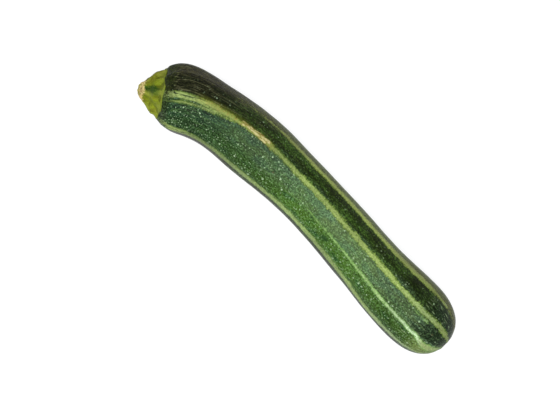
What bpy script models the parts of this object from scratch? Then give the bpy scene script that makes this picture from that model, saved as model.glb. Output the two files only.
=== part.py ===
"""A courgette as picked, lying on a flat surface: the long bent fruit and the stub of its cut stem.

Both pieces are swept round one centre line. It starts in the middle of the stem's cut face and ends in the scar that
the flower left. Lengths are in millimetres along that line, and angles run from straight up towards the outer side of
the bend. The finished pair is centred on the origin, with the surface at z = 0.
"""

import bisect
import itertools
import math

import bmesh
import bpy
from mathutils import Vector, noise

MM = 0.001

STEM_LENGTH = 11.8
SEAM_GAP = 0.3
CAP_LENGTH = 26.5
CAP_SQUARENESS = 2.3

# Points of the centre line: towards the blossom end, towards the outer side of the bend, and up.
CENTRE_LINE = (
    (1.9, 0.1, 21.3),
    (12.0, 6.0, 20.4),
    (24.0, 10.7, 19.2),
    (38.5, 13.7, 18.5),
    (57.6, 15.2, 18.3),
    (83.3, 14.4, 18.0),
    (111.3, 11.9, 16.8),
    (128.0, 9.2, 16.8),
    (145.0, 6.1, 17.2),
    (160.5, 3.2, 17.7),
    (178.5, -0.2, 18.6),
    (203.7, -3.6, 20.2),
    (223.4, -5.6, 21.5),
)

# Mean radius of the stem, at distances along the centre line.
STEM_RADII = (
    (0.0, 4.1),
    (2.3, 5.6),
    (4.0, 7.1),
    (5.7, 9.0),
    (8.5, 11.7),
    (11.8, 13.7),
)

# Mean radius of the fruit, from the neck under the stem to where the rounded blossom end starts.
FRUIT_RADII = (
    (11.8, 13.9),
    (14.5, 16.4),
    (18.0, 18.3),
    (23.0, 19.4),
    (29.0, 19.5),
    (36.0, 18.9),
    (48.0, 18.2),
    (74.0, 19.0),
    (100.0, 17.7),
    (114.0, 17.3),
    (135.0, 17.4),
    (150.0, 17.7),
    (165.0, 18.2),
    (178.0, 18.9),
    (192.0, 19.7),
    (202.0, 19.9),
)

# Height of the five ridges, crest to groove, as a share of the radius.
RIDGE_COUNT = 5
RIDGE_HEIGHTS = (
    (0.0, 0.12),
    (4.0, 0.26),
    (8.0, 0.22),
    (11.8, 0.09),
    (20.0, 0.055),
    (45.0, 0.030),
    (120.0, 0.020),
    (190.0, 0.025),
    (228.0, 0.060),
)
RIDGE_SHARPNESS = 1.4

# The ridges turn round the fruit near the stem, and then run almost straight.
RIDGE_ANGLE = math.radians(17.0)
NECK_TURN = math.radians(-42.0)
NECK_TURN_LENGTH = 17.0

# The stem is cut at a slant, so that its face looks up a little.
CUT_SLANT = math.tan(math.radians(24.0))
CUT_SLANT_LENGTH = 8.0
CUT_RIM = 0.35

# Rings of the cut face from its middle to its rim: share of its radius, and depth.
CUT_PROFILE = (
    (0.0, 0.5),
    (0.45, 0.5),
    (0.75, 0.3),
    (0.85, 0.0),
    (0.92, 0.0),
)

# The flower's scar: a low rim with a slope outside it, and rings to its middle: share of its radius, and depth.
SCAR_RADIUS = 4.6
SCAR_SLOPE = 1.1
SCAR_RIM_HEIGHT = 0.5
SCAR_PROFILE = (
    (1.0, 0.0),
    (0.8, 0.0),
    (0.5, 0.9),
    (0.2, 0.7),
    (0.0, 0.6),
)

# Shallow dents and swellings of the skin.
LUMP_HEIGHT = 0.45
LUMP_SIZE = 26.0
LUMP_FADE = 14.0

FRUIT_SEGMENTS = 60
STEM_SEGMENTS = 60
BODY_RING_GAP = 4.6
SHOULDER_END = 29.0
SHOULDER_RINGS = 9
CAP_RINGS = 12
STEM_RINGS = 12

FRUIT_GREEN = (0.045, 0.085, 0.022)
STEM_OLIVE = (0.22, 0.25, 0.03)


def clear_scene():
    for obj in list(bpy.data.objects):
        bpy.data.objects.remove(obj, do_unlink=True)


def slope(stations, k):
    """How fast the value changes at station k, from the stations beside it."""
    before, after = stations[max(k - 1, 0)], stations[min(k + 1, len(stations) - 1)]
    return (after[1] - before[1]) / (after[0] - before[0])


def smooth(stations, at):
    """The value at a distance on the smooth curve through (distance, value) stations."""
    places = [place for place, _ in stations]
    k = min(max(bisect.bisect_right(places, at) - 1, 0), len(stations) - 2)
    (start, first), (end, second) = stations[k], stations[k + 1]
    gap = end - start
    t = min(max((at - start) / gap, 0.0), 1.0)
    leaving, arriving = slope(stations, k) * gap, slope(stations, k + 1) * gap
    return (
        first * (2 * t**3 - 3 * t**2 + 1)
        + leaving * (t**3 - 2 * t**2 + t)
        + second * (3 * t**2 - 2 * t**3)
        + arriving * (t**3 - t**2)
    )


def centre_stations():
    """The centre line's points, each with its distance from the stem's cut face."""
    points = [Vector(point) for point in CENTRE_LINE]
    steps = [(b - a).length for a, b in itertools.pairwise(points)]
    return list(zip(itertools.accumulate([0.0, *steps]), points, strict=True))


def centre_frame(stations, distance):
    """The centre line's point at a distance, and its directions: along, up and towards the bend's outer side."""
    step = 0.5
    point = smooth(stations, distance)
    along = (smooth(stations, distance + step) - smooth(stations, distance - step)).normalized()
    outer = Vector((0, 0, 1)).cross(along).normalized()
    return point, along, along.cross(outer), outer


def ridge_phase(distance):
    """The angle of the ridge that runs along the top of the fruit."""
    return RIDGE_ANGLE + NECK_TURN * math.exp(-distance / NECK_TURN_LENGTH)


def ridges(distance, angle):
    """How much the ridges push the surface out, as a share of the radius."""
    turn = RIDGE_COUNT / 2 * (angle - ridge_phase(distance))
    crest = 1 - abs(math.sin(turn)) ** RIDGE_SHARPNESS
    return smooth(RIDGE_HEIGHTS, distance) * (crest - 0.5)


def lumps(distance, angle, radius):
    """How far the fruit's dents and swellings move its skin. They die out at the stem and in the scar."""
    place = Vector((distance, radius * math.cos(angle), radius * math.sin(angle))) / LUMP_SIZE
    fade = min(max((distance - STEM_LENGTH) / LUMP_FADE, 0.0), 1.0) * min(radius / SCAR_RADIUS, 1.0)
    return LUMP_HEIGHT * fade * noise.noise(place)


def cut_setback(distance, height):
    """How far the slanted cut moves a point of the stem along the centre line."""
    share = max(1 - distance / CUT_SLANT_LENGTH, 0.0)
    return CUT_SLANT * height * share


def surface_point(stations, distance, radius, angle):
    """A point of the courgette's surface, in millimetres. Nothing reaches below the surface it lies on."""
    reach = radius * (1 + ridges(distance, angle)) + lumps(distance, angle, radius)
    point, along, up, outer = centre_frame(stations, distance)
    height = reach * math.cos(angle)
    point = point + up * height + outer * (reach * math.sin(angle))
    point += along * cut_setback(distance, height)
    point.z = max(point.z, 0.0)
    return point


def swept_solid(name, profile, segments):
    """A closed solid round the centre line. Its profile is (distance, radius) for each ring, from pole to pole."""
    stations = centre_stations()
    shape = bmesh.new()
    bmesh.ops.create_uvsphere(shape, u_segments=segments, v_segments=len(profile) - 1, radius=1)
    for vertex in shape.verts:
        polar = math.acos(min(max(vertex.co.z, -1.0), 1.0))
        distance, radius = profile[round(polar / math.pi * (len(profile) - 1))]
        angle = math.atan2(vertex.co.y, vertex.co.x)
        vertex.co = surface_point(stations, distance, radius, angle) * MM
    mesh = bpy.data.meshes.new(name)
    shape.to_mesh(mesh)
    shape.free()
    mesh.shade_smooth()
    return bpy.data.objects.new(name, mesh)


def evenly(start, end, count):
    """Distances from start to end, both included."""
    return [start + (end - start) * k / count for k in range(count + 1)]


def cap_ring(cap_start, radius, turn):
    """The rounded end's ring at an angle from its widest place. It is squarer than an ellipse."""
    power = 2 / CAP_SQUARENESS
    return cap_start + CAP_LENGTH * math.sin(turn) ** power, radius * math.cos(turn) ** power


def fruit_profile():
    """The fruit's rings: the flat seat under the stem, the shoulder, the body, the rounded end and the scar."""
    cap_start = centre_stations()[-1][0] - CAP_LENGTH
    body_rings = round((cap_start - SHOULDER_END) / BODY_RING_GAP)
    places = evenly(STEM_LENGTH, SHOULDER_END, SHOULDER_RINGS)
    places += evenly(SHOULDER_END, cap_start, body_rings)[1:]
    body = [(place, smooth(FRUIT_RADII, place)) for place in places]
    cap_radius = body[-1][1]
    last_turn = math.acos(((SCAR_RADIUS + SCAR_SLOPE) / cap_radius) ** (CAP_SQUARENESS / 2))
    cap = [cap_ring(cap_start, cap_radius, turn) for turn in evenly(0.0, last_turn, CAP_RINGS)[1:]]
    rim = cap[-1][0] + SCAR_RIM_HEIGHT
    scar = [(rim - depth, SCAR_RADIUS * share) for share, depth in SCAR_PROFILE]
    return [(STEM_LENGTH, 0.0), *body, *cap, *scar]


def stem_profile():
    """The stem's rings: the hollow of its cut face, the cut's rim, the flared side and the flat base."""
    cut = [(depth, STEM_RADII[0][1] * share) for share, depth in CUT_PROFILE]
    base = STEM_LENGTH - SEAM_GAP
    side = [(place, smooth(STEM_RADII, place)) for place in evenly(CUT_RIM, base, STEM_RINGS)]
    return [*cut, *side, (base, 0.0)]


def plain_material(name, colour, roughness):
    material = bpy.data.materials.new(name)
    material.use_nodes = True
    shader = material.node_tree.nodes["Principled BSDF"]
    shader.inputs["Base Color"].default_value = (*colour, 1)
    shader.inputs["Roughness"].default_value = roughness
    shader.inputs["Metallic"].default_value = 0
    return material


def centre_on_origin(pieces):
    """Moves the pieces together so that the middle of their common outline is over the origin."""
    points = [vertex.co for piece in pieces for vertex in piece.data.vertices]
    middle = [(min(p[k] for p in points) + max(p[k] for p in points)) / 2 for k in (0, 1)]
    for piece in pieces:
        piece.location = (-middle[0], -middle[1], 0)


def main():
    clear_scene()
    courgette = bpy.data.collections.new("courgette")
    bpy.context.scene.collection.children.link(courgette)
    fruit = swept_solid("fruit", fruit_profile(), FRUIT_SEGMENTS)
    fruit.data.materials.append(plain_material("fruit skin", FRUIT_GREEN, 0.35))
    stem = swept_solid("stem", stem_profile(), STEM_SEGMENTS)
    stem.data.materials.append(plain_material("stem skin", STEM_OLIVE, 0.5))
    for piece in (fruit, stem):
        courgette.objects.link(piece)
    centre_on_origin((fruit, stem))


main()
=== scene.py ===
"""The looks of the courgette: its striped, flecked skin, its ribbed stem and a pale studio.

Every pattern on the courgette follows the fruit, and not the world. Its place is given by the
distance from the stem's cut face along the centre line, and by the angle round it from straight
up towards the bend's outer side. Distances along the fruit are in millimetres.
"""

import itertools
import math

import bpy
import numpy as np
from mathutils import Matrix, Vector, noise
from mathutils.bvhtree import BVHTree


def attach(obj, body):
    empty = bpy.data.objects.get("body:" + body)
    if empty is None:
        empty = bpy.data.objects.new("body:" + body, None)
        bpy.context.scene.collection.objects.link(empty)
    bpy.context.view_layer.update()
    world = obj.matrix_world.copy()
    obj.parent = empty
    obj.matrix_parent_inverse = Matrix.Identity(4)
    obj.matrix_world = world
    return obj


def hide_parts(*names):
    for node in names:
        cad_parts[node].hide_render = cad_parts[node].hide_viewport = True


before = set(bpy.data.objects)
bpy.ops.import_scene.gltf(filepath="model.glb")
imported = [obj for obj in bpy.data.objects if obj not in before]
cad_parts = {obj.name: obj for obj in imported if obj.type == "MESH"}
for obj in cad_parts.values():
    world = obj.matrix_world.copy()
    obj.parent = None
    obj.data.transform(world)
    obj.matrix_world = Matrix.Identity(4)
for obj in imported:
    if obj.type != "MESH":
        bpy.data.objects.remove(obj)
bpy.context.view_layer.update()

MM = 0.001

# Points of the courgette's centre line, in millimetres, from the middle of the stem's cut face
# to the blossom scar.
CENTRE_LINE = (
    (-109.6, -5.7, 21.3),
    (-99.5, 0.2, 20.4),
    (-87.5, 4.9, 19.2),
    (-73.0, 7.9, 18.5),
    (-53.9, 9.4, 18.3),
    (-28.2, 8.6, 18.0),
    (-0.2, 6.1, 16.8),
    (16.5, 3.4, 16.8),
    (33.5, 0.3, 17.2),
    (49.0, -2.6, 17.7),
    (67.0, -6.0, 18.6),
    (92.2, -9.4, 20.2),
    (111.9, -11.4, 21.5),
)

# The centre line is followed from before its first point to past its last one.
LINE_START, LINE_END = -6, 234

# The stem ends and the fruit starts here, measured along the centre line.
STEM_BASE = 11.5
SEAM = 11.8

# The skin is laid flat as if the fruit had this radius all along.
FLAT_RADIUS = 18.5

# The photo's view: straight down, turned so that the blossom end points to the lower right. The
# picture is VIEW_WIDTH metres wide at OUTLINE_HEIGHT. The lens and the sensor are in millimetres.
VIEW_CENTRE = (-0.0067, -0.0102)
VIEW_WIDTH = 0.3136
VIEW_TURN = math.radians(38.3)
OUTLINE_HEIGHT = 0.018
LENS = 85.0
SENSOR = 36.0
NEAREST_SEEN = 0.01

# The copies of the solids are merged at gaps under this, in metres, made of quads up to this
# angle, and subdivided this many times.
MERGE_GAP = 0.00001
QUAD_ANGLE = math.radians(60)
SUBDIVISIONS = 2

# Near the stem the ribs and stripes turn round the fruit by this much, and less with distance.
NECK_TURN = math.radians(-42.0)
NECK_TURN_LENGTH = 17.0

# One of the stem's ridges and one of the fruit's ribs stand at this angle.
RIDGE_ANGLE = math.radians(17.0)

# Each stripe: its angle in degrees and its half width in millimetres, both at distances from the
# stem's end, and how white it is. Where the half width is under nought there is no stripe.
STRIPES = {
    "outer": {
        "angle": ((0, 57), (80, 56.5), (110, 55), (170, 55.5), (230, 57)),
        "half": (
            (44, -0.8), (60, 0.2), (76, 1.1), (100, 1.7), (120, 2.0), (160, 2.0), (178, 2.4),
            (198, 2.2), (212, 0.8), (222, -0.5),
        ),
        "white": 0.1,
    },
    "crown": {
        "angle": (
            (0, 14), (30, 12), (43, 13), (52, 13.5), (62, 15), (75, 17), (86, 16.2), (108, 13.2),
            (180, 12), (204, 10.5), (216, 14),
        ),
        "half": (
            (12, 2.4), (30, 2.2), (43, 2.1), (52, 1.8), (60, 1.2), (74, 1.2), (84, 1.6), (180, 1.8),
            (226, 1.8),
        ),
        "white": 0.3,
    },
    "inner line": {
        "angle": (
            (90, -17), (108, -18), (130, -21), (150, -21), (164, -23), (192, -25), (210, -27),
            (216, -36), (228, -44),
        ),
        "half": (
            (92, -0.9), (112, 0.1), (136, 0.7), (164, 0.9), (192, 1.2), (210, 1.3), (215, 1.9),
            (222, 2.8),
        ),
        "white": 1.0,
    },
    "crown strands": {
        "angle": ((0, 0), (30, 2), (45, 6), (60, 10)),
        "half": ((12, 0.5), (24, 1.0), (44, 1.1), (54, 0.4), (62, -0.8)),
        "white": 0.3,
    },
    "crown dash": {
        "angle": ((0, 2.8), (230, 2.8)),
        "half": ((197, -1.2), (201, 0.4), (205, 0.3), (209, 0.5), (213, -1.2)),
        "white": 0.9,
    },
    "inner": {
        "angle": (
            (0, -46), (18, -50), (26, -53.5), (50, -59), (80, -58.5), (108, -58), (136, -58),
            (162, -60.5), (178, -64), (192, -63.5), (206, -62), (230, -62),
        ),
        "half": ((12, 1.2), (17, 2.6), (30, 2.4), (50, 2.1), (190, 2.3), (215, 1.4)),
        "white": 0.6,
    },
    "inner low line": {
        "angle": ((0, -94), (230, -96)),
        "half": ((40, -0.5), (80, 0.6), (160, 1.0), (222, 1.4)),
        "white": 0.5,
    },
    "inner low": {
        "angle": ((0, -128), (230, -131)),
        "half": ((12, 1.1), (50, 1.8), (200, 2.0), (220, 1.2)),
        "white": 0.4,
    },
    "under line": {
        "angle": ((0, -163), (230, -166)),
        "half": ((60, -0.5), (100, 0.5), (180, 0.9), (222, 1.3)),
        "white": 0.7,
    },
    "outer low": {
        "angle": ((0, 161), (230, 163)),
        "half": ((12, 1.0), (50, 1.7), (200, 2.0), (220, 1.2)),
        "white": 0.3,
    },
    "outer low line": {
        "angle": ((0, 126), (230, 128)),
        "half": ((50, -0.5), (90, 0.7), (170, 1.1), (222, 1.2)),
        "white": 0.5,
    },
    "outer edge": {
        "angle": ((0, 90), (230, 93)),
        "half": ((16, 0.8), (70, 1.3), (200, 1.7), (220, 1.0)),
        "white": 0.2,
    },
}

# Where the fruit is thinner than this radius its stripes get narrower, to this share at most.
FULL_STRIPE_RADIUS = 15.0
NARROWEST = 0.25

# How light the green between the stripes is, from 0 to 1, at angles round the fruit. The middle
# values from -18 to 4 degrees pick greyer greens that are partly painted sheen. The dark band
# under the inner stripe, from -88 to -66 degrees, is partly painted shade of the underside, and
# the lighter green from 58 to 80 degrees is partly a painted reflection of the floor.
GROUND_LIGHT = (
    (-180, 0.35), (-146, 0.55), (-112, 0.35), (-88, 0.1), (-66, 0.0), (-56, 0.7), (-42, 0.95),
    (-26, 0.85), (-18, 0.65), (4, 0.6), (14, 0.25), (30, 0.0), (50, 0.0), (58, 0.2), (66, 0.4),
    (80, 0.4), (108, 0.35), (144, 0.2), (180, 0.35),
)

# How light it is at the neck, whose outer side is dark, partly as painted shade where the neck
# turns away from the light. This holds up to the first distance, and is gone at the second.
NECK_FULL, NECK_END = 50.0, 95.0
NECK_GROUND_LIGHT = (
    (-180, 0.35), (-146, 0.55), (-112, 0.35), (-88, 0.1), (-66, 0.0), (-56, 0.7), (-42, 0.9),
    (-26, 0.8), (-18, 0.65), (4, 0.6), (14, 0.2), (24, 0.0), (120, 0.0), (150, 0.2), (180, 0.35),
)

# How light it is where the blossom end rounds off. This starts at the first distance, and holds
# from the second.
END_START, END_FULL = 196.0, 215.0
END_GROUND_LIGHT = (
    (-180, 0.2), (-146, 0.6), (-100, 0.3), (-78, 0.3), (-56, 1.0), (-36, 1.0), (-26, 0.5),
    (-20, 0.05), (14, 0.0), (50, 0.0), (72, 0.2), (108, 0.4), (144, 0.1), (180, 0.2),
)

# The greens between the stripes are a little darker round this distance.
WAIST = 84.0

# A small dark dent: where it is along the fruit and round it, how long, wide and deep it is, and
# how much it slants.
DENT_DISTANCE = 137.0
DENT_ANGLE = math.radians(-34.0)
DENT_LENGTH, DENT_WIDTH = 3.0, 1.9
DENT_DEPTH = 0.35
DENT_SLANT = 0.4

# How brown the skin is, from 0 to 1, at angles round the fruit. Only its outer side is brown. This
# olive-brown rim is partly the skin's own browning and partly painted reflection of the floor.
GROUND_BROWN_AND_REFLECTION = (
    (-180, 0.0), (48, 0.0), (57, 0.4), (66, 0.8), (74, 0.8), (86, 0.35), (104, 0.0), (180, 0.0),
)

# The corky scratch along the crown stripe: its ends, its angle, its half width and how far it
# stands out of the skin.
SCRATCH_START, SCRATCH_END = 52.0, 83.0
SCRATCH_ANGLE = math.radians(17.5)
SCRATCH_HALF = 1.6
SCRATCH_HEIGHT = 0.22

# The yellowed skin round the scratch.
HALO_START, HALO_END = 27.0, 84.0
HALO_HALF = 2.0

# Both start over the first of these lengths and end over the second. They wander to the sides.
SCRATCH_RISE, SCRATCH_FALL = 12.0, 6.0
SCRATCH_WANDER = 0.8

# The scar of the flower is this wide from its middle, and starts this far along the centre line.
SCAR_RADIUS = 4.6
SCAR_START = 224.0

# Ribs and wrinkles run along the skin. They are this high at the seam, and get lower with distance.
RIB_COUNT = 10
RIB_HEIGHT = 0.28
RIB_FADE = 30.0
WRINKLE_HEIGHT = 0.16
WRINKLE_FADE = 16.0

# The stripes stand out of the skin by this much, with edges that slope over this width to either
# side. Low dimples are everywhere.
STRIPE_HEIGHT = 0.06
STRIPE_SLOPE = 0.8
DIMPLE_HEIGHT = 0.10

# All these forms fade out below this height over the surface that the courgette lies on.
FLAT_HEIGHT = 0.6

# The stem's ridges. They are round where the power is over 1, and would be sharp under it.
STEM_RIDGES = 5
RIDGE_POWER = 1.4

# How much the ridges stand out on the stem's outer and inner side, and how deep the furrows
# between them are, at distances from the cut face.
STEM_SWELLING_OUTER = (
    (0, -0.9), (1, -0.8), (2, -0.3), (3.5, 0.6), (5, 0.6), (7, -0.2), (8.5, -0.25), (11.5, 0.5),
)
STEM_SWELLING_INNER = ((0, 0), (2, 0.4), (5, 1.1), (8, 1.3), (10, 0.8), (11.5, 0.3))
FURROW_DEPTH = ((1, 0), (3, 0.5), (6, 0.35), (9, 0.0))

# Deep pits in the furrows: their angle in degrees, how deep they are, from 0 to 1, and where they
# end.
PITS = ((55, 1.0, 13.0), (-19, 0.1, 10.0), (125, 0.5, 9.5), (-163, 0.45, 9.5), (-91, 0.5, 9.5))

# How far a pit reaches to its inner and its outer side, and how far it turns in each millimetre,
# in degrees. Its angle is the one at PIT_MIDDLE.
PIT_WIDTH_INNER, PIT_WIDTH_OUTER = 24.0, 13.0
PIT_TURN = -4.0
PIT_MIDDLE = 2.0

# A pit starts between these distances, ends over this length, and is this deep at most.
PIT_START, PIT_FULL = 1.0, 2.6
PIT_FALL = 6.5
PIT_DEPTH = 0.7

# The stem's fibres and lumps stand out by this much. They start at the rim of the cut face, over
# the widths inside and outside it.
STEM_FIBRE_HEIGHT = 0.3
STEM_LUMP_HEIGHT = 0.35
RIM_INSIDE, RIM_OUTSIDE = 0.6, 0.4

# The dry cut face. Its ring is where bundles of fibres end, at this share of its radius.
CUT_RADIUS = 4.1
RING_PLACE = 0.62
RING_HEIGHT, RING_WIDTH = 0.25, 0.12
BUNDLE_COUNT = 10
BUNDLE_HEIGHT, BUNDLE_WIDTH = 0.12, 0.2
PITH_DEPTH = 0.5
RAGGED_HEIGHT = 0.35

# The part of the stem between these distances is drawn out to be the lip that grows over the
# fruit. Its edge reaches these distances at these angles round the fruit.
LIP_START, LIP_END = 7.0, 11.1
LIP_POWER = 1.5
LIP_REACH = (
    (-180, 13.2), (-120, 13.8), (-90, 13.2), (-56, 14.2), (-41, 15.3), (-25, 14.6), (-11, 14.2),
    (9, 14.6), (24, 13.4), (36, 13.0), (70, 13.2), (100, 13.8), (140, 13.2), (180, 13.2),
)

# The lip comes out of the stem's side over this length before the seam. Before the fruit's first
# ring, this far past the seam, it gets narrower by this much in each millimetre.
LIP_BLEND = 5.2
FIRST_RING = 0.4
LIP_SLOPE = 0.85

# The lip's height over the skin, from where it starts to its edge, which is sunk in the skin.
LIP_THICKNESS = ((0.0, 0.45), (0.9, 0.45), (0.96, 0.3), (1.0, -0.5))


def colour(red, green, blue):
    """A linear colour from the three sRGB values, 0 to 255, that a colour picker shows."""
    shares = [value / 255 for value in (red, green, blue)]
    return tuple(s / 12.92 if s <= 0.04045 else ((s + 0.055) / 1.055) ** 2.4 for s in shares)


def deselect_all():
    for obj in bpy.context.selected_objects:
        obj.select_set(False)


def make_active(piece):
    deselect_all()
    piece.select_set(True)
    bpy.context.view_layer.objects.active = piece


def fine_copy(node, name):
    """A copy of a solid of the frame, merged, made of quads and smoothly subdivided."""
    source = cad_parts[node]
    make_active(source)
    bpy.ops.object.duplicate()
    piece = bpy.context.active_object
    piece.name = piece.data.name = name
    for key in list(piece.keys()):
        if key.startswith("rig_"):
            del piece[key]
    piece.data.materials.clear()
    bpy.ops.object.mode_set(mode="EDIT")
    bpy.ops.mesh.select_all(action="SELECT")
    bpy.ops.mesh.remove_doubles(threshold=MERGE_GAP)
    bpy.ops.mesh.tris_convert_to_quads(face_threshold=QUAD_ANGLE, shape_threshold=QUAD_ANGLE)
    bpy.ops.object.mode_set(mode="OBJECT")
    smoothing = piece.modifiers.new("smoothing", "SUBSURF")
    smoothing.levels = smoothing.render_levels = SUBDIVISIONS
    bpy.ops.object.modifier_apply(modifier=smoothing.name)
    bpy.ops.object.shade_smooth()
    return piece


def points_of(piece):
    """The piece's vertices in millimetres, one row each."""
    points = np.empty(len(piece.data.vertices) * 3)
    piece.data.vertices.foreach_get("co", points)
    return points.reshape(-1, 3) / MM


def normals_of(piece):
    normals = np.empty(len(piece.data.vertices) * 3)
    piece.data.vertex_normals.foreach_get("vector", normals)
    return normals.reshape(-1, 3)


def put_points(piece, points):
    piece.data.vertices.foreach_set("co", (points * MM).ravel())
    piece.data.update()


def give(piece, name, values):
    """Stores a number, or a vector in millimetres, for each vertex, for the materials to read."""
    kind, field = ("FLOAT", "value") if values.ndim == 1 else ("FLOAT_VECTOR", "vector")
    attribute = piece.data.attributes.new(name, kind, "POINT")
    attribute.data.foreach_set(field, values.astype(np.float32).ravel())


def slope(stations, k):
    """How fast the value changes at station k, from the stations beside it."""
    before, after = stations[max(k - 1, 0)], stations[min(k + 1, len(stations) - 1)]
    return (after[1] - before[1]) / (after[0] - before[0])


def smooth(stations, at):
    """The value at a distance on the smooth curve through (distance, value) stations.

    Beyond its ends the curve goes straight on.
    """
    if at <= stations[0][0]:
        return stations[0][1] + slope(stations, 0) * (at - stations[0][0])
    if at >= stations[-1][0]:
        return stations[-1][1] + slope(stations, len(stations) - 1) * (at - stations[-1][0])
    k = max(k for k, (place, _) in enumerate(stations) if place <= at)
    (begin, first), (end, second) = stations[k], stations[k + 1]
    gap = end - begin
    t = (at - begin) / gap
    leaving, arriving = slope(stations, k) * gap, slope(stations, k + 1) * gap
    return (
        first * (2 * t**3 - 3 * t**2 + 1)
        + leaving * (t**3 - 2 * t**2 + t)
        + second * (3 * t**2 - 2 * t**3)
        + arriving * (t**3 - t**2)
    )


def make_centre_line():
    """Places along the centre line, every millimetre: their distances, points and directions."""
    points = [Vector(point) for point in CENTRE_LINE]
    stations = [(0.0, points[0])]
    for before, after in itertools.pairwise(points):
        stations.append((stations[-1][0] + (after - before).length, after))
    distances = np.arange(LINE_START, LINE_END)
    line = np.array([smooth(stations, distance) for distance in distances])
    along = np.gradient(line, axis=0)
    along /= np.linalg.norm(along, axis=1)[:, None]
    outer = np.cross((0, 0, 1), along)
    outer /= np.linalg.norm(outer, axis=1)[:, None]
    up = np.cross(along, outer)
    return {"distance": distances, "point": line, "outer": outer, "up": up}


def straighten(points, line):
    """Each point's distance along the centre line, its angle round it and its distance from it."""
    best = np.full(len(points), np.inf)
    distance, angle = np.zeros(len(points)), np.zeros(len(points))
    for k in range(len(line["distance"]) - 1):
        step = line["point"][k + 1] - line["point"][k]
        share = np.clip((points - line["point"][k]) @ step / (step @ step), 0, 1)[:, None]
        across = points - line["point"][k] - share * step
        gap = np.linalg.norm(across, axis=1)
        outer, up = (
            line[side][k] + share * (line[side][k + 1] - line[side][k]) for side in ("outer", "up")
        )
        nearer = gap < best
        best[nearer] = gap[nearer]
        distance[nearer] = (line["distance"][k] + share[:, 0])[nearer]
        turn = np.arctan2((across * outer).sum(axis=1), (across * up).sum(axis=1))
        angle[nearer] = turn[nearer]
    return distance, angle, best


def bend(distance, angle, radius, line):
    """The points at these distances along the centre line, angles round it and distances from it."""
    point, outer, up = (
        np.stack([np.interp(distance, line["distance"], line[name][:, k]) for k in range(3)], axis=1)
        for name in ("point", "outer", "up")
    )
    return point + radius[:, None] * (up * np.cos(angle)[:, None] + outer * np.sin(angle)[:, None])


def follow(stations, at):
    """The value at each distance, on straight lines through (distance, value) stations."""
    places, values = zip(*stations, strict=True)
    return np.interp(at, places, values)


def fade(values, start, end):
    """From 0 at start to 1 at end, smoothly."""
    share = np.clip((values - start) / (end - start), 0, 1)
    return share * share * (3 - 2 * share)


def speckle(distance, angle, radius, *, length, width, seed):
    """Smooth noise from -1 to 1 whose patches have a length along the fruit and a width round it."""
    x = distance / length + seed * 7.3
    y = radius * np.cos(angle) / width
    z = radius * np.sin(angle) / width
    return np.array([noise.noise(Vector(place)) for place in zip(x, y, z, strict=True)])


def half_turned(angle):
    """The same angle from minus half a turn to half a turn."""
    return (angle + math.pi) % math.tau - math.pi


def turned_back(distance, angle):
    """The angle round the fruit with the turn of its neck taken out."""
    return half_turned(angle - NECK_TURN * np.exp(-distance / NECK_TURN_LENGTH))


def stripe_edges(distance, turned, radius):
    """How far outside the nearest stripe's edge each point lies, and how white that stripe is."""
    nearest, white = np.full(len(distance), np.inf), np.zeros(len(distance))
    narrowing = np.clip(radius / FULL_STRIPE_RADIUS, NARROWEST, 1)
    for stripe in STRIPES.values():
        offset = np.abs(half_turned(turned - np.radians(follow(stripe["angle"], distance))))
        edge = offset * radius - follow(stripe["half"], distance) * narrowing
        nearer = edge < nearest
        nearest[nearer] = edge[nearer]
        white[nearer] = stripe["white"]
    return nearest, white


def scratch_depth(distance, turned, radius, start, end, half):
    """How far inside a scratch along the crown stripe each point lies, from 0 outside it to 1."""
    wander = speckle(distance, turned * 0, radius, length=9.0, width=50.0, seed=4)
    across = np.abs(turned - SCRATCH_ANGLE) * radius - SCRATCH_WANDER * wander
    ends = fade(distance, start, start + SCRATCH_RISE) * fade(-distance, -end, -end + SCRATCH_FALL)
    return np.clip(1.5 - across / half, 0, 1) * ends


def dent_share(distance, turned, radius):
    """How deep in the dent each point lies, from 0 to 1."""
    along = (distance - DENT_DISTANCE) / DENT_LENGTH
    across = (turned - DENT_ANGLE) * radius / DENT_WIDTH
    return np.exp(-(along**2) - (across - DENT_SLANT * along) ** 2)


def ground_light(distance, turned):
    """How light the green between the stripes is at each point, from 0 to 1."""
    degrees = np.degrees(turned)
    light = follow(GROUND_LIGHT, degrees)
    light += fade(-distance, -NECK_END, -NECK_FULL) * (follow(NECK_GROUND_LIGHT, degrees) - light)
    light += fade(distance, END_START, END_FULL) * (follow(END_GROUND_LIGHT, degrees) - light)
    return light


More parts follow.
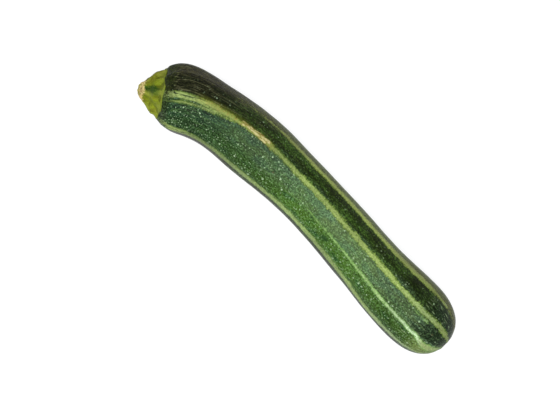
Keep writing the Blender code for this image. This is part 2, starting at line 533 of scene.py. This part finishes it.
def make_skin(line):
    """The fruit's skin with its relief.

    It has ribs and wrinkles below the stem, faint stripes, dimples, the corky scratch and the dent.
    """
    piece = fine_copy("fruit", "courgette_skin")
    points = points_of(piece)
    distance, angle, radius = straighten(points, line)
    turned = turned_back(distance, angle)
    stripe, white = stripe_edges(distance, turned, radius)
    scratch = scratch_depth(distance, turned, radius, SCRATCH_START, SCRATCH_END, SCRATCH_HALF)
    halo = scratch_depth(distance, turned, radius, HALO_START, HALO_END, HALO_HALF)
    dent = dent_share(distance, turned, radius)
    from_seam = np.clip(distance - SEAM, 0, None)

    relief = RIB_HEIGHT * np.exp(-from_seam / RIB_FADE) * np.cos(RIB_COUNT * (turned - RIDGE_ANGLE))
    wrinkles = speckle(distance, turned, radius, length=30.0, width=1.6, seed=1)
    relief += WRINKLE_HEIGHT * np.exp(-from_seam / WRINKLE_FADE) * wrinkles
    relief += STRIPE_HEIGHT * fade(-stripe, -STRIPE_SLOPE, STRIPE_SLOPE)
    relief += DIMPLE_HEIGHT * speckle(distance, turned, radius, length=9.0, width=5.0, seed=2)
    crust = speckle(distance, turned, radius, length=2.2, width=1.0, seed=3)
    relief += SCRATCH_HEIGHT * scratch * (1 + 0.8 * crust)
    relief -= DENT_DEPTH * dent
    relief *= fade(points[:, 2], 0.0, FLAT_HEIGHT)
    put_points(piece, points + normals_of(piece) * relief[:, None])

    place = np.stack([distance, radius * np.cos(turned), radius * np.sin(turned)], axis=1)
    give(piece, "place", place)
    give(piece, "stripe", stripe)
    give(piece, "white", white)
    give(piece, "ground", ground_light(distance, turned))
    give(piece, "dent", dent)
    # The olive-brown rim: partly real browning, partly painted reflection of the floor.
    give(piece, "brown", follow(GROUND_BROWN_AND_REFLECTION, np.degrees(turned)))
    give(piece, "scar", np.where(distance > SCAR_START, 1 - radius / SCAR_RADIUS, -1.0))
    give(piece, "scratch", scratch)
    give(piece, "halo", halo)
    return piece


def skin_radius(skin, distance, angle, line):
    """How far the skin is from the centre line, at distances along it and angles round it."""
    graph = bpy.context.evaluated_depsgraph_get()
    surface = BVHTree.FromObject(skin, graph)
    starts = bend(distance, angle, np.zeros(len(distance)), line) * MM
    ends = bend(distance, angle, np.ones(len(distance)), line) * MM
    hits = [
        surface.ray_cast(Vector(start), Vector(end - start))
        for start, end in zip(starts, ends, strict=True)
    ]
    return np.array([hit[3] for hit in hits]) / MM


def stem_radius(distance, angle, turned, radius, crest, pit):
    """How far the stem's side is from the centre line, with its ridges, furrows, pits and fibres."""
    outer_share = (1 + np.sin(angle)) / 2
    swelling = outer_share * follow(STEM_SWELLING_OUTER, distance)
    swelling += (1 - outer_share) * follow(STEM_SWELLING_INNER, distance)
    furrow = follow(FURROW_DEPTH, distance) * (1 - crest) ** 2
    radius = radius + swelling * crest - furrow - PIT_DEPTH * pit
    side = fade(radius, CUT_RADIUS - RIM_INSIDE, CUT_RADIUS + RIM_OUTSIDE)
    fibres = speckle(distance, turned, radius, length=7.0, width=0.55, seed=11)
    radius += STEM_FIBRE_HEIGHT * side * fibres
    lumps = speckle(distance, turned, radius, length=3.0, width=2.4, seed=12)
    radius += STEM_LUMP_HEIGHT * side * lumps
    return radius


def make_stem(skin, line):
    """The stem's stub: furrowed and fibrous, with a dry cut face and a lip over the shoulder."""
    piece = fine_copy("stem", "courgette_stem")
    points = points_of(piece)
    distance, angle, radius = straighten(points, line)
    turned = turned_back(distance, angle)
    crest = 1 - np.abs(np.sin(STEM_RIDGES / 2 * (turned - RIDGE_ANGLE))) ** RIDGE_POWER
    pit = pits(distance, np.degrees(turned))
    radius = stem_radius(distance, angle, turned, radius, crest, pit)
    distance = distance + cut_relief(distance, angle, radius)

    lip = fade(distance, LIP_START, LIP_END) * (distance < LIP_END + 0.1)
    reach = follow(LIP_REACH, np.degrees(angle)) - STEM_BASE
    lip_distance = distance + lip**LIP_POWER * reach
    over = lip_distance > SEAM - LIP_BLEND
    first_ring = SEAM + FIRST_RING
    grown = skin_radius(skin, np.clip(lip_distance[over], first_ring, None), angle[over], line)
    grown -= LIP_SLOPE * np.clip(first_ring - lip_distance[over], 0, None)
    share = fade(lip_distance[over], SEAM - LIP_BLEND, SEAM + 0.2) * (lip[over] > 0)
    radius[over] += share * (grown + follow(LIP_THICKNESS, lip[over]) - radius[over])
    put_points(piece, bend(lip_distance, angle, radius, line))

    place = np.stack([lip_distance, radius * np.cos(turned), radius * np.sin(turned)], axis=1)
    give(piece, "place", place)
    give(piece, "ridge", crest)
    give(piece, "pit", pit)
    outwards = np.sin(angle)
    give(piece, "brown", 0.35 * fade(outwards, 0.3, 0.8) + 0.65 * fade(outwards, 0.82, 0.97))
    # Where the lip's edge is, for the painted shade along it.
    give(piece, "rim", fade(lip, 0.86, 0.98))
    give(piece, "cut", cut_share(distance, radius))
    return piece


def pits(distance, degrees):
    """How deep in a furrow's pit each point lies, from 0 to 1."""
    deep = np.zeros(len(distance))
    for middle, depth, end in PITS:
        offset = (degrees - middle - PIT_TURN * (distance - PIT_MIDDLE) + 180) % 360 - 180
        width = np.where(offset > 0, PIT_WIDTH_OUTER, PIT_WIDTH_INNER)
        deep += depth * np.exp(-((offset / width) ** 2)) * fade(-distance, -end, PIT_FALL - end)
    return deep * fade(distance, PIT_START, PIT_FULL)


def cut_share(distance, radius):
    """From 1 in the middle of the cut face to 0 at its rim, and below 0 along the stem's side."""
    return np.where(distance < 0.8, 1 - radius / CUT_RADIUS, -distance / CUT_RADIUS)


def cut_relief(distance, angle, radius):
    """How far behind a plain cut each point lies: the pith lies back, and the ring stands out."""
    share = np.clip(radius / CUT_RADIUS, 0, 1.2)
    on_cut = fade(-distance, -2.5, -1.0)
    ring = RING_HEIGHT * np.exp(-(((share - RING_PLACE) / RING_WIDTH) ** 2))
    bundles = BUNDLE_HEIGHT * np.cos(BUNDLE_COUNT * angle)
    bundles *= np.exp(-(((share - RING_PLACE) / BUNDLE_WIDTH) ** 2))
    pith = PITH_DEPTH * fade(-share, -0.45, -0.1)
    ragged = RAGGED_HEIGHT * speckle(radius * 0, angle, radius, length=1.0, width=1.1, seed=13)
    return on_cut * (pith - ring - bundles + ragged * fade(share, 0.5, 1.0))


class Tree:
    """A node tree with short calls that add one node each and hand back its output."""

    def __init__(self, tree):
        self.tree = tree

    def add(self, kind, inputs, output=0, **settings):
        node = self.tree.nodes.new("ShaderNode" + kind)
        for name, value in settings.items():
            setattr(node, name, value)
        for key, source in inputs.items():
            self.feed(node.inputs[key], source)
        return node.outputs[output]

    def feed(self, socket, source):
        """Links another node's output to a socket, or sets the socket's own value."""
        if isinstance(source, bpy.types.NodeSocket):
            self.tree.links.new(source, socket)
        elif socket.type == "RGBA":
            socket.default_value = (*source, 1)
        else:
            socket.default_value = source

    def stored(self, name, output="Fac"):
        return self.add("Attribute", {}, output, attribute_name=name)

    def maths(self, operation, first, second=0.0, third=0.0, clamp=False):
        inputs = {0: first, 1: second, 2: third}
        return self.add("Math", inputs, operation=operation, use_clamp=clamp)

    def rise(self, value, start, end, low=0.0, high=1.0):
        """From low at start to high at end, smoothly."""
        inputs = {"Value": value, "From Min": start, "From Max": end, "To Min": low, "To Max": high}
        return self.add("MapRange", inputs, interpolation_type="SMOOTHSTEP")

    def mix(self, share, below, above):
        """A mix of two colours, by the node's sockets for colours."""
        return self.add("Mix", {0: share, 6: below, 7: above}, 2, data_type="RGBA")

    def mix_value(self, share, below, above):
        return self.add("Mix", {0: share, 2: below, 3: above})

    def brighter(self, tint, times):
        """A colour made brighter by a number, or darker by one under 1."""
        return self.add("VectorMath", {0: tint, 3: times}, operation="SCALE")

    def scaled(self, vector, x, y, z):
        return self.add("VectorMath", {0: vector, 1: (x, y, z)}, operation="MULTIPLY")

    def cloud(self, place, scale, detail, roughness):
        inputs = {"Vector": place, "Scale": scale, "Detail": detail, "Roughness": roughness}
        return self.add("TexNoise", inputs)


def new_group(name, inputs, outputs):
    """An empty shader node group. Inputs and outputs are (name, kind) pairs."""
    group = bpy.data.node_groups.new(name, "ShaderNodeTree")
    for label, kind in inputs:
        group.interface.new_socket(label, in_out="INPUT", socket_type="NodeSocket" + kind)
    for label, kind in outputs:
        group.interface.new_socket(label, in_out="OUTPUT", socket_type="NodeSocket" + kind)
    tree = Tree(group)
    given = group.nodes.new("NodeGroupInput").outputs
    result = group.nodes.new("NodeGroupOutput").inputs
    return tree, given, result


def use_group(tree, name, inputs, output=0):
    node = tree.tree.nodes.new("ShaderNodeGroup")
    node.node_tree = bpy.data.node_groups[name]
    for key, source in inputs.items():
        tree.feed(node.inputs[key], source)
    return node.outputs[output]


def make_streaks_group():
    """Uneven patches with a length along the fruit and a width round it, in millimetres.

    The value goes from 0 to 1.
    """
    inputs = (("Place", "Vector"), ("Length", "Float"), ("Width", "Float"), ("Detail", "Float"))
    tree, given, result = new_group("Streaks", inputs, (("Value", "Float"),))
    along = tree.maths("DIVIDE", 1.0, given["Length"])
    across = tree.maths("DIVIDE", 1.0, given["Width"])
    scale = tree.add("CombineXYZ", {0: along, 1: across, 2: across})
    place = tree.add("VectorMath", {0: given["Place"], 1: scale}, operation="MULTIPLY")
    tree.feed(result["Value"], tree.cloud(place, 1.0, given["Detail"], 0.6))


def make_flecks_group():
    """Small marks, one in each cell at most, some smaller and some fainter than others.

    Sizes are in millimetres, and the mask goes from 0 to 1.
    """
    inputs = (
        ("Place", "Vector"), ("Spacing", "Float"), ("Radius", "Float"), ("Share", "Float"),
        ("Softness", "Float"),
    )
    tree, given, result = new_group("Flecks", inputs, (("Mask", "Float"),))
    scale = tree.maths("DIVIDE", 1.0, given["Spacing"])
    wobble = tree.add("TexNoise", {"Vector": given["Place"], "Scale": 1.3, "Detail": 1.0}, 1)
    wobble = tree.scaled(wobble, 0.8, 0.8, 0.0)
    place = tree.add("VectorMath", {0: given["Place"], 1: wobble}, operation="ADD")
    cells = tree.tree.nodes.new("ShaderNodeTexVoronoi")
    cells.voronoi_dimensions = "2D"
    tree.feed(cells.inputs["Vector"], place)
    tree.feed(cells.inputs["Scale"], scale)
    chance, size, paleness = (
        tree.add("SeparateColor", {0: cells.outputs["Color"]}, part) for part in range(3)
    )
    there = tree.maths("LESS_THAN", chance, given["Share"])
    radius = tree.maths("MULTIPLY", given["Radius"], tree.maths("MULTIPLY_ADD", size, 0.7, 0.45))
    gap = tree.maths("MULTIPLY", cells.outputs["Distance"], given["Spacing"])
    inner = tree.maths("SUBTRACT", radius, given["Softness"])
    mask = tree.rise(gap, inner, radius, 1.0, 0.0)
    mask = tree.maths("MULTIPLY", mask, tree.maths("MULTIPLY_ADD", paleness, 0.7, 0.3))
    tree.feed(result["Mask"], tree.maths("MULTIPLY", mask, there))


def make_unrolled_group():
    """The skin laid flat: distance along the fruit and round it, in millimetres."""
    outputs = (("Place", "Vector"), ("Along", "Float"), ("Solid", "Vector"))
    tree, _, result = new_group("Unrolled", (), outputs)
    stored = tree.stored("place", "Vector")
    along, up, outer = (tree.add("SeparateXYZ", {0: stored}, axis) for axis in range(3))
    around = tree.maths("MULTIPLY", tree.maths("ARCTAN2", outer, up), FLAT_RADIUS)
    tree.feed(result["Place"], tree.add("CombineXYZ", {0: along, 1: around}))
    tree.feed(result["Along"], along)
    tree.feed(result["Solid"], stored)


def new_material(name, gloss):
    material = bpy.data.materials.new(name)
    material.use_nodes = True
    shader = material.node_tree.nodes["Principled BSDF"]
    shader.inputs["Specular IOR Level"].default_value = gloss
    return material, Tree(material.node_tree), shader


def streaks(tree, solid, length, width, detail=2.0):
    inputs = {"Place": solid, "Length": length, "Width": width, "Detail": detail}
    return use_group(tree, "Streaks", inputs)


def flecks(tree, flat, *, spacing, radius, share, softness):
    inputs = {
        "Place": flat, "Spacing": spacing, "Radius": radius, "Share": share, "Softness": softness,
    }
    return use_group(tree, "Flecks", inputs)


def painted(tree, base, mask, strength, tint):
    """A colour laid over another where a mask is, at a strength from 0 to 1."""
    return tree.mix(tree.maths("MULTIPLY", mask, strength), base, tint)


def grained(tree, tint, grain, lighter, darker):
    """A colour with lighter and darker grain in it."""
    tint = tree.mix(tree.rise(grain, 0.5, 0.62), tint, lighter)
    return tree.mix(tree.rise(grain, 0.47, 0.35), tint, tree.brighter(tint, darker))


def ground_colour(tree, along, lightness, patches):
    """The greens between the stripes.

    They are near black at the neck's outer side, blue-green by the neck, and then leaf green. The
    neck's darkness is partly painted shade, and the greyer greens of the middle are partly painted
    sheen, which fades towards the neck and the blossom end.
    """
    neck = tree.rise(along, 30.0, 85.0)
    far = tree.rise(along, 32.0, 116.0)
    tip = tree.rise(along, 205.0, 217.0)
    dark = tree.mix(tree.rise(patches, 0.4, 0.64), colour(25, 35, 10), colour(38, 57, 19))
    # Near black at the neck: partly painted shade where the neck turns away from the light.
    dark = tree.mix(neck, colour(21, 23, 10), dark)
    dark = tree.mix(tree.rise(along, 200.0, 212.0), dark, colour(31, 46, 26))
    # Cool and warm make the middle greens: the skin's own tone with painted sheen in it.
    cool = tree.mix(far, colour(29, 52, 36), colour(70, 95, 64))
    warm = tree.mix(far, colour(36, 58, 29), colour(77, 97, 57))
    middle = tree.mix(tree.rise(patches, 0.4, 0.6), cool, warm)
    leaf = tree.mix(far, colour(28, 51, 21), colour(61, 91, 29))
    deep_leaf = tree.mix(far, colour(22, 42, 20), colour(40, 76, 34))
    light = tree.mix(tree.rise(patches, 0.5, 0.68), leaf, deep_leaf)
    from_waist = tree.maths("ABSOLUTE", tree.maths("SUBTRACT", along, WAIST))
    waist_shade = tree.rise(from_waist, 6.0, 26.0, 0.79, 1.0)
    base = tree.mix(tree.rise(lightness, 0.0, 0.5), dark, tree.brighter(middle, waist_shade))
    base = tree.mix(tree.rise(lightness, 0.5, 1.0), base, tree.brighter(light, waist_shade))
    # Darker towards the blossom end, where the painted sheen of the middle greens fades out.
    base = tree.brighter(base, tree.rise(along, 160.0, 192.0, 1.0, 0.62))
    pale_tip = tree.maths("MULTIPLY", tip, tree.rise(lightness, 0.5, 1.0, 0.0, 0.8))
    base = tree.mix(pale_tip, base, colour(108, 124, 66))
    # The olive-brown rim of the outer side: partly real browning, partly painted reflection of the
    # floor.
    brown = tree.mix(neck, colour(46, 42, 15), colour(80, 79, 36))
    base = painted(tree, base, tree.stored("brown"), 0.75, brown)
    # Painted shade: near black on the shoulder next to the stem's lip, where stem and fruit meet.
    return tree.mix(tree.rise(along, 20.0, 15.0, 0.0, 0.85), base, colour(27, 34, 8))


def mottled_ground(tree, solid, along, grain):
    """The greens between the stripes with their grain, and how light they are."""
    broad = streaks(tree, solid, 24.0, 6.0, 3.0)
    unevenness = tree.maths("MULTIPLY_ADD", broad, 0.5, -0.25)
    lightness = tree.maths("ADD", tree.stored("ground"), unevenness)
    end_streaks = tree.maths("MULTIPLY_ADD", streaks(tree, solid, 9.0, 1.1, 3.0), 1.4, -0.7)
    end_streaks = tree.maths("MULTIPLY", end_streaks, tree.rise(along, 190.0, 206.0))
    lightness = tree.maths("ADD", lightness, end_streaks, clamp=True)
    base = ground_colour(tree, along, lightness, streaks(tree, solid, 17.0, 5.0))
    bright_grain = tree.brighter(base, tree.rise(lightness, 0.0, 0.4, 3.0, 2.0))
    lighter = painted(tree, bright_grain, lightness, 0.35, colour(96, 128, 84))
    return grained(tree, base, grain, lighter, 0.48), lightness


def neck_lines(tree, base, solid, along, lightness):
    """The fine pale and dark lines that run along the neck."""
    lines = streaks(tree, solid, 16.0, 0.7, 3.0)
    on_neck = tree.maths("MULTIPLY", tree.rise(along, 105.0, 35.0), tree.rise(along, 13.0, 17.0))
    pale = tree.mix(tree.rise(lightness, 0.0, 0.4), colour(100, 100, 70), colour(66, 92, 46))
    base = painted(tree, base, tree.rise(lines, 0.54, 0.66, 0.0, 0.65), on_neck, pale)
    return painted(tree, base, tree.rise(lines, 0.48, 0.36, 0.0, 0.7), on_neck, colour(18, 20, 10))


def skin_flecks(tree, base, flat, along, neck, lightness):
    """The skin's pale flecks, which are crowded at the neck, and the mask of the large ones."""
    crowd = tree.maths("MULTIPLY_ADD", lightness, 0.5, 0.12)
    crowd = tree.maths("SUBTRACT", crowd, tree.stored("brown"))
    small = flecks(tree, flat, spacing=1.5, radius=0.36, share=crowd, softness=0.12)
    large = flecks(tree, flat, spacing=3.8, radius=0.64, share=crowd, softness=0.22)
    crowded = flecks(tree, flat, spacing=1.5, radius=0.48, share=0.6, softness=0.2)
    light_neck = tree.maths("MULTIPLY", neck, tree.rise(lightness, 0.2, 0.55))
    crowded = tree.maths("MULTIPLY", crowded, light_neck)
    in_light = tree.rise(lightness, 0.0, 0.4, 0.55, 1.0)
    off_seam = tree.maths("MULTIPLY", tree.rise(along, 13.5, 17.0), in_light)
    for marks, strength in ((small, 0.65), (large, 0.95), (crowded, 0.45)):
        marks = tree.maths("MULTIPLY", marks, strength)
        base = painted(tree, base, marks, off_seam, colour(154, 178, 138))
    return base, large


def ragged_edge(tree, solid, along):
    """How far outside the nearest stripe a place is, in millimetres.

    The edges are ragged like a comb, and less so at the neck and where the stripe is white.
    """
    edge = tree.stored("stripe")
    raggedness = tree.maths("MULTIPLY_ADD", tree.stored("white"), -0.45, 1.0)
    raggedness = tree.maths("MULTIPLY", raggedness, tree.rise(along, 20.0, 55.0, 0.35, 1.0))
    for length, width, reach in ((0.9, 4.0, 1.5), (5.0, 2.0, 1.4), (0.6, 0.5, 1.0)):
        wave = tree.maths("MULTIPLY_ADD", streaks(tree, solid, length, width), 2 * reach, -reach)
        edge = tree.maths("MULTIPLY_ADD", wave, raggedness, edge)
    return edge


def stripe_colour(tree, solid, along, neck, grain, edge):
    """The colour of the stripes: a pale core and a greener rim, yellowed round the scratch."""
    white = tree.stored("white")
    core = tree.mix(white, colour(136, 151, 74), colour(137, 162, 106))
    end_core = tree.mix(white, colour(106, 122, 40), colour(172, 196, 152))
    core = tree.mix(tree.rise(along, 176.0, 208.0), core, end_core)
    core = tree.mix(tree.rise(along, 209.0, 217.0, 0.0, 0.85), core, colour(122, 136, 78))
    core = tree.mix(neck, core, colour(146, 164, 94))
    rim = tree.mix(white, colour(84, 102, 30), colour(92, 126, 62))
    pale = tree.mix(tree.rise(edge, -0.1, -1.1), rim, core)
    blotches = tree.rise(streaks(tree, solid, 30.0, 12.0), 0.35, 0.6, 0.78, 1.06)
    pale = tree.brighter(pale, blotches)
    pale = tree.brighter(pale, tree.rise(along, 90.0, 118.0, 0.79, 1.04))
    pale = grained(tree, pale, grain, tree.brighter(pale, 1.3), 0.62)
    speckled = tree.rise(tree.cloud(solid, 1.3, 2.0, 0.5), 0.5, 0.62)
    yellowed = tree.mix(speckled, colour(126, 132, 54), colour(156, 132, 60))
    pale = painted(tree, pale, tree.stored("halo"), 0.45, yellowed)
    # The stripes go olive-grey on the outer rim: partly real browning, partly painted reflection of the
    # floor.
    return painted(tree, pale, tree.stored("brown"), 0.7, colour(126, 128, 76))


def stripe_mask(tree, solid, along, neck, edge):
    """Where the stripes are, from 0 to 1. At the neck they fall apart into strands."""
    whole = tree.rise(edge, 0.3, -0.3)
    whole = tree.maths("MULTIPLY", whole, tree.rise(along, 13.0, 24.0, 0.3, 1.0))
    strands = tree.rise(streaks(tree, solid, 40.0, 0.8, 3.0), 0.4, 0.52)
    return tree.maths("MULTIPLY", whole, tree.mix_value(neck, 1.0, strands))


def blossom_dashes(tree, base, flat, along):
    """The short pale dashes of the blossom end, which are long flecks."""
    stretched = tree.scaled(flat, 0.22, 1.0, 1.0)
    dash = flecks(tree, stretched, spacing=1.4, radius=0.42, share=0.5, softness=0.25)
    dash = tree.maths("MULTIPLY", dash, tree.rise(along, 190.0, 212.0, 0.0, 0.6))
    return painted(tree, base, dash, tree.rise(along, 224.0, 217.0), colour(150, 168, 124))


def cork(tree, base, solid, crumb):
    """The scratch's broken crust of tan cork, and where it is."""
    crust = streaks(tree, solid, 3.6, 1.3, 3.0)
    depth = tree.maths("ADD", tree.stored("scratch"), -1.4)
    depth = tree.maths("MULTIPLY_ADD", crust, 2.0, depth)
    tan = tree.mix(tree.rise(crumb, 0.4, 0.55), colour(122, 104, 44), colour(140, 134, 72))
    pale_tan = tree.rise(tree.maths("MULTIPLY_ADD", crumb, 1.4, depth), 0.95, 1.5)
    tan = tree.mix(pale_tan, tan, colour(190, 180, 128))
    in_cork = tree.rise(depth, 0.15, 0.6, 0.0, 0.85)
    return tree.mix(in_cork, base, tan), in_cork


def flower_scar(tree, base, crumb):
    """The dry scar of the flower with its darker hollow and yellow-green edge, and where it is."""
    inside = tree.maths("MULTIPLY_ADD", crumb, 0.5, -0.25)
    inside = tree.maths("ADD", tree.stored("scar"), inside)
    dry = tree.mix(tree.rise(crumb, 0.38, 0.6), colour(98, 78, 42), colour(172, 150, 100))
    dry = tree.mix(tree.rise(inside, 0.3, 0.7), dry, colour(74, 60, 34))
    base = tree.mix(tree.rise(inside, -0.25, -0.1, 0.0, 0.7), base, colour(66, 76, 26))
    in_scar = tree.rise(inside, -0.05, 0.08)
    return tree.mix(in_scar, base, dry), in_scar


def skin_material():
    material, tree, shader = new_material("courgette skin", gloss=0.055)
    flat, along, solid = (
        use_group(tree, "Unrolled", {}, name) for name in ("Place", "Along", "Solid")
    )
    neck = tree.rise(along, 60.0, 20.0)
    grain = streaks(tree, solid, 1.1, 0.75, 3.0)
    crumb = streaks(tree, solid, 1.9, 1.1)

    base, lightness = mottled_ground(tree, solid, along, grain)
    base = neck_lines(tree, base, solid, along, lightness)
    base, large_flecks = skin_flecks(tree, base, flat, along, neck, lightness)
    base = painted(tree, base, tree.stored("dent"), 0.95, colour(28, 56, 27))
    scabs = flecks(tree, flat, spacing=9.0, radius=0.8, share=0.16, softness=0.5)
    base = painted(tree, base, scabs, 0.45, colour(96, 88, 56))
    base = painted(tree, base, tree.stored("halo"), 0.35, colour(92, 98, 26))

    edge = ragged_edge(tree, solid, along)
    pale = stripe_colour(tree, solid, along, neck, grain, edge)
    base = tree.mix(stripe_mask(tree, solid, along, neck, edge), base, pale)
    base = blossom_dashes(tree, base, flat, along)
    base, in_cork = cork(tree, base, solid, crumb)
    base, in_scar = flower_scar(tree, base, crumb)
    tree.feed(shader.inputs["Base Color"], base)

    dry = tree.maths("MAXIMUM", in_cork, in_scar)
    waxy = tree.maths("MULTIPLY_ADD", grain, 0.2, 0.27)
    tree.feed(shader.inputs["Roughness"], tree.maths("MULTIPLY_ADD", dry, 0.35, waxy))

    height = tree.maths("MULTIPLY_ADD", large_flecks, 0.3, tree.cloud(solid, 0.9, 3.0, 0.6))
    height = tree.maths("MULTIPLY_ADD", grain, 0.8, height)
    height = tree.maths("MULTIPLY_ADD", dry, crumb, height)
    bump = tree.add("Bump", {"Height": height, "Strength": 0.5, "Distance": 0.0006})
    tree.feed(shader.inputs["Normal"], bump)
    return material


def stem_material():
    material, tree, shader = new_material("courgette stem", gloss=0.1)
    along, solid = (use_group(tree, "Unrolled", {}, name) for name in ("Along", "Solid"))
    ridge = tree.stored("ridge")
    patches = streaks(tree, solid, 4.0, 2.5, 3.0)
    fibre = streaks(tree, solid, 8.0, 0.5, 3.0)
    unevenness = tree.maths("SUBTRACT", patches, 0.5)

    base = tree.mix(tree.rise(patches, 0.4, 0.6), colour(102, 106, 18), colour(126, 138, 24))
    # Painted shade in the furrows, which are darker and greener than the ridges.
    base = tree.mix(tree.rise(ridge, 0.4, 0.0, 0.0, 0.7), base, colour(100, 114, 10))
    # Painted highlight along the ridges' crests.
    crest = tree.maths("MULTIPLY_ADD", unevenness, 0.8, ridge)
    base = tree.mix(tree.rise(crest, 0.6, 1.0, 0.0, 0.6), base, colour(150, 158, 62))
    base = painted(tree, base, tree.stored("brown"), 0.85, colour(64, 48, 16))
    # Painted shade: the pits in the furrows are dark green.
    pit = tree.maths("MULTIPLY_ADD", unevenness, 0.5, tree.stored("pit"))
    base = tree.mix(tree.rise(pit, 0.1, 0.75), base, colour(40, 72, 8))
    # Painted highlight: lighter yellow-green towards the lip's edge.
    base = tree.mix(tree.rise(along, 8.0, 13.0, 0.0, 0.35), base, colour(150, 164, 62))
    base = tree.mix(tree.rise(fibre, 0.52, 0.68, 0.0, 0.45), base, colour(144, 144, 60))
    base = tree.mix(tree.rise(fibre, 0.46, 0.3, 0.0, 0.55), base, colour(66, 74, 8))
    # Painted shade along the lip's edge, where it meets the fruit.
    base = painted(tree, base, tree.stored("rim"), 0.5, colour(62, 78, 16))

    cut = tree.stored("cut")
    ragged = tree.maths("MULTIPLY_ADD", unevenness, 1.3, tree.maths("SUBTRACT", fibre, 0.5))
    dry = tree.rise(tree.maths("ADD", cut, ragged), -0.7, -0.4)
    tan = tree.mix(tree.rise(fibre, 0.35, 0.62), colour(158, 124, 58), colour(216, 200, 136))
    base = tree.mix(dry, base, tan)
    ring = tree.maths("MULTIPLY", tree.rise(cut, 0.16, 0.3), tree.rise(cut, 0.55, 0.4))
    base = painted(tree, base, ring, 0.7, colour(108, 118, 44))
    base = tree.mix(tree.rise(cut, 0.55, 0.8, 0.0, 0.7), base, colour(92, 72, 34))
    tree.feed(shader.inputs["Base Color"], base)
    tree.feed(shader.inputs["Roughness"], tree.maths("MULTIPLY_ADD", fibre, 0.25, 0.5))

    height = tree.maths("MULTIPLY_ADD", fibre, 1.5, tree.cloud(solid, 1.5, 4.0, 0.6))
    bump = tree.add("Bump", {"Height": height, "Strength": 0.4, "Distance": 0.0005})
    tree.feed(shader.inputs["Normal"], bump)
    return material


def floor_material():
    """White paper. Most of its brightness is its own light, so that shadows on it stay faint."""
    material, tree, shader = new_material("white paper", gloss=0.3)
    tone = tree.cloud(tree.add("TexCoord", {}, "Object"), 6.0, 3.0, 0.5)
    paper = tree.mix(tone, (0.28, 0.28, 0.285), (0.32, 0.32, 0.325))
    tree.feed(shader.inputs["Base Color"], paper)
    shader.inputs["Roughness"].default_value = 0.7
    shader.inputs["Emission Color"].default_value = (1.0, 1.0, 1.0, 1.0)
    shader.inputs["Emission Strength"].default_value = 0.74
    return material


def make_floor():
    """A wide floor, a tenth of a millimetre under the courgette so that the two don't share a plane."""
    bpy.ops.mesh.primitive_plane_add(size=6.0, location=(0, 0, -0.1 * MM))
    floor = bpy.context.active_object
    floor.name = "floor"
    bpy.ops.object.transform_apply(location=True, rotation=False, scale=False)
    floor.data.materials.append(floor_material())


def add_light(name, *, direction, distance, size, energy, tint):
    """A rectangular soft light that looks at the courgette from a direction."""
    light = bpy.data.lights.new(name, "AREA")
    light.shape = "RECTANGLE"
    light.size, light.size_y = size
    light.energy = energy
    light.color = tint
    holder = bpy.data.objects.new(name, light)
    away = Vector(direction).normalized()
    holder.location = away * distance
    holder.rotation_euler = away.to_track_quat("Z", "X").to_euler()
    bpy.context.scene.collection.objects.link(holder)


def make_studio():
    make_floor()
    add_light(
        "overhead soft light",
        direction=(0.0, -0.1, 0.99),
        distance=0.8,
        size=(0.75, 1.2),
        energy=12.5,
        tint=(0.97, 0.985, 1.0),
    )
    world = bpy.data.worlds.new("dim room")
    world.use_nodes = True
    background = world.node_tree.nodes["Background"]
    background.inputs["Color"].default_value = (1.0, 0.99, 0.97, 1)
    background.inputs["Strength"].default_value = 0.15
    bpy.context.scene.world = world
    bpy.context.scene.view_settings.view_transform = "Standard"


def make_camera():
    data = bpy.data.cameras.new("camera")
    data.lens, data.sensor_width = LENS, SENSOR
    data.clip_start = NEAREST_SEEN
    camera = bpy.data.objects.new("camera", data)
    height = OUTLINE_HEIGHT + VIEW_WIDTH * LENS / SENSOR
    camera.location = (*VIEW_CENTRE, height)
    camera.rotation_euler = (0, 0, VIEW_TURN)
    bpy.context.scene.collection.objects.link(camera)
    bpy.context.scene.camera = camera


deselect_all()
make_camera()
make_streaks_group()
make_flecks_group()
make_unrolled_group()

line = make_centre_line()
skin = make_skin(line)
skin.data.materials.append(skin_material())
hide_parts("fruit")

stem = make_stem(skin, line)
stem.data.materials.append(stem_material())
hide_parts("stem")

for piece in (skin, stem):
    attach(piece, "root")

make_studio()
